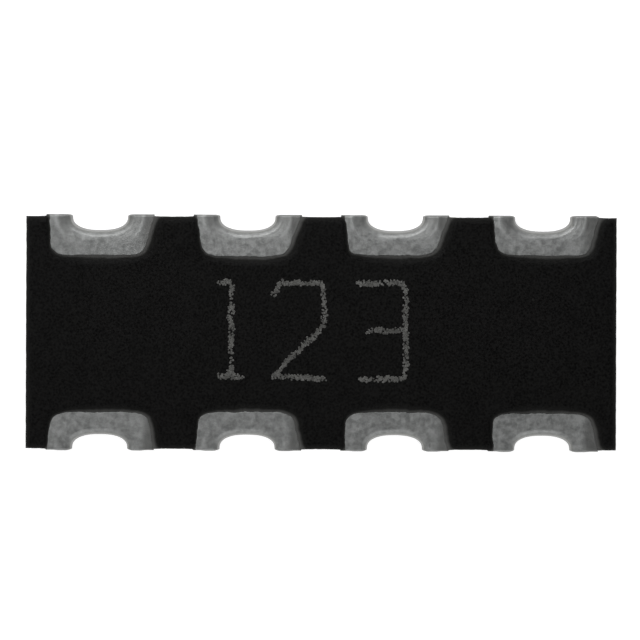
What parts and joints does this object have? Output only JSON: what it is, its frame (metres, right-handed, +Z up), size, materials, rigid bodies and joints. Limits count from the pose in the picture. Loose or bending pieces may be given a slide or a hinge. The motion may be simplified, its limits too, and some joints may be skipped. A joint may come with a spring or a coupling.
{
  "type": "chip resistor network",
  "caption": "Flat ceramic chip with separate thick-film resistors side by side under a black coat, each ending in concave solder terminals along both long edges.",
  "frame": {"origin": "middle of the part, on the surface that its tin pads rest on", "axes": "+X along the row of resistors, +Y across the plate to the rear row of terminals, +Z up through the black coat"},
  "size_m": [0.005, 0.002, 0.0006],
  "materials": {
    "alumina": "matte",
    "fired_silver": "satin",
    "nickel": "satin",
    "tin": "matte",
    "resistor_ink": "satin",
    "undercoat_glass": "gloss",
    "overcoat": "matte",
    "marking": "matte"
  },
  "bodies": {
    "root": {"ceramic_plate": "alumina", "silver_electrode_1": "fired_silver", "silver_electrode_2": "fired_silver", "silver_electrode_3": "fired_silver", "silver_electrode_4": "fired_silver", "silver_electrode_5": "fired_silver", "silver_electrode_6": "fired_silver", "silver_electrode_7": "fired_silver", "silver_electrode_8": "fired_silver", "nickel_barrier_1": "nickel", "nickel_barrier_2": "nickel", "nickel_barrier_3": "nickel", "nickel_barrier_4": "nickel", "nickel_barrier_5": "nickel", "nickel_barrier_6": "nickel", "nickel_barrier_7": "nickel", "nickel_barrier_8": "nickel", "tin_terminal_1": "tin", "tin_terminal_2": "tin", "tin_terminal_3": "tin", "tin_terminal_4": "tin", "tin_terminal_5": "tin", "tin_terminal_6": "tin", "tin_terminal_7": "tin", "tin_terminal_8": "tin", "resistor_film_1": "resistor_ink", "resistor_film_2": "resistor_ink", "resistor_film_3": "resistor_ink", "resistor_film_4": "resistor_ink", "glass_cover_1": "undercoat_glass", "glass_cover_2": "undercoat_glass", "glass_cover_3": "undercoat_glass", "glass_cover_4": "undercoat_glass", "black_overcoat": "overcoat"}
  },
  "joints": []
}
